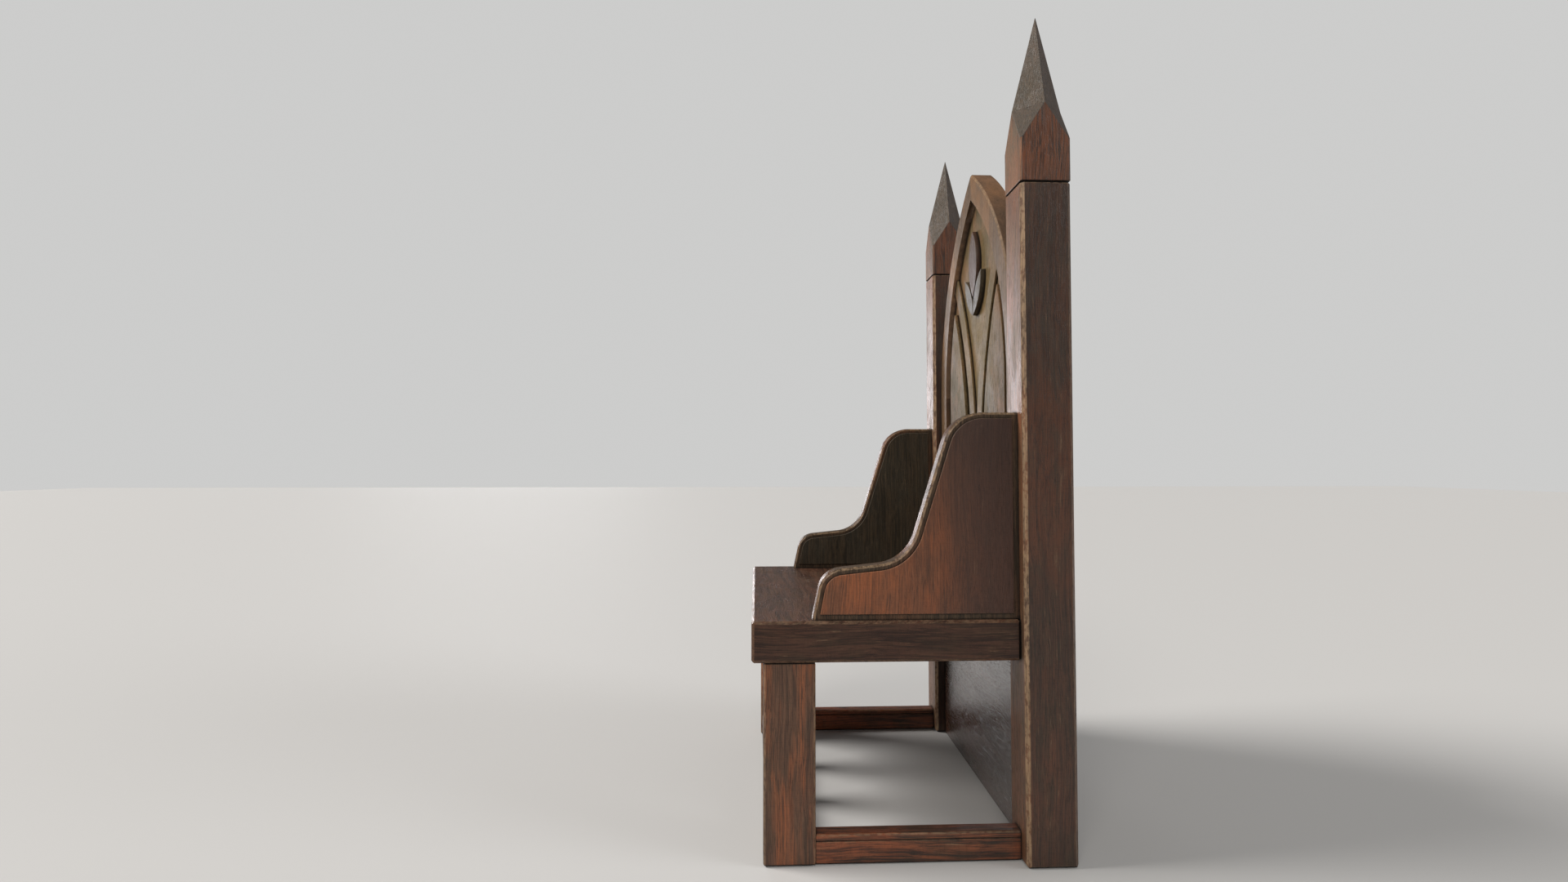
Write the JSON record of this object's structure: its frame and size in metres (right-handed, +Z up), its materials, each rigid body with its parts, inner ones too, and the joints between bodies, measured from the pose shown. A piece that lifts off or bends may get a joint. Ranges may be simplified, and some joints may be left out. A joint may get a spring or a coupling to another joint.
{
  "type": "gothic throne chair",
  "caption": "High-backed wooden Gothic throne: spired posts, pointed arch back with tracery and a leaf ornament, scrolled board arms, thick plank seat and an apron pierced by lancets",
  "frame": {"origin": "middle of the footprint on the floor", "axes": "+Z up, -Y out of the front of the seat, +X to the right as seen from the front"},
  "size_m": [0.733, 0.59, 1.585],
  "materials": {
    "frame_wood": "aged dark red-brown stained wood, semi-gloss, worn pale edges",
    "finial_wood": "aged red-brown wood with dusty grey-brown spire faces",
    "board_wood": "aged brown wood with an olive patina",
    "leaf_wood": "dark red-brown carved wood",
    "seat_wood": "dark brown polished plank with worn edges",
    "arm_wood": "orange-brown stained wood, worn pale edges",
    "apron_wood": "aged red-brown wood",
    "peg_wood": "bare light wood, unseen"
  },
  "bodies": {
    "root": {"post_left": "frame_wood", "post_right": "frame_wood", "finial_left": "finial_wood", "finial_right": "finial_wood", "finial_dowel_left": "peg_wood", "finial_dowel_right": "peg_wood", "arch_left": "frame_wood", "arch_right": "frame_wood", "arch_spline": "peg_wood", "back_board": "board_wood", "back_rib_left": "board_wood", "back_rib_right": "board_wood", "back_field_left": "board_wood", "back_field_right": "board_wood", "leaf_centre": "leaf_wood", "leaf_left": "leaf_wood", "leaf_right": "leaf_wood", "arch_dowels_left": "peg_wood", "arch_dowels_right": "peg_wood", "lower_back_panel": "board_wood", "seat_plank": "seat_wood", "seat_dowels": "peg_wood", "arm_left": "arm_wood", "arm_right": "arm_wood", "arm_field_outer_left": "arm_wood", "arm_field_outer_right": "arm_wood", "arm_field_inner_left": "arm_wood", "arm_field_inner_right": "arm_wood", "arm_dowels_left": "peg_wood", "arm_dowels_right": "peg_wood", "leg_left": "frame_wood", "leg_right": "frame_wood", "front_rail": "frame_wood", "side_rail_left": "frame_wood", "side_rail_right": "frame_wood", "apron_board": "apron_wood", "apron_frame_left": "apron_wood", "apron_frame_centre": "apron_wood", "apron_frame_right": "apron_wood"}
  },
  "joints": []
}
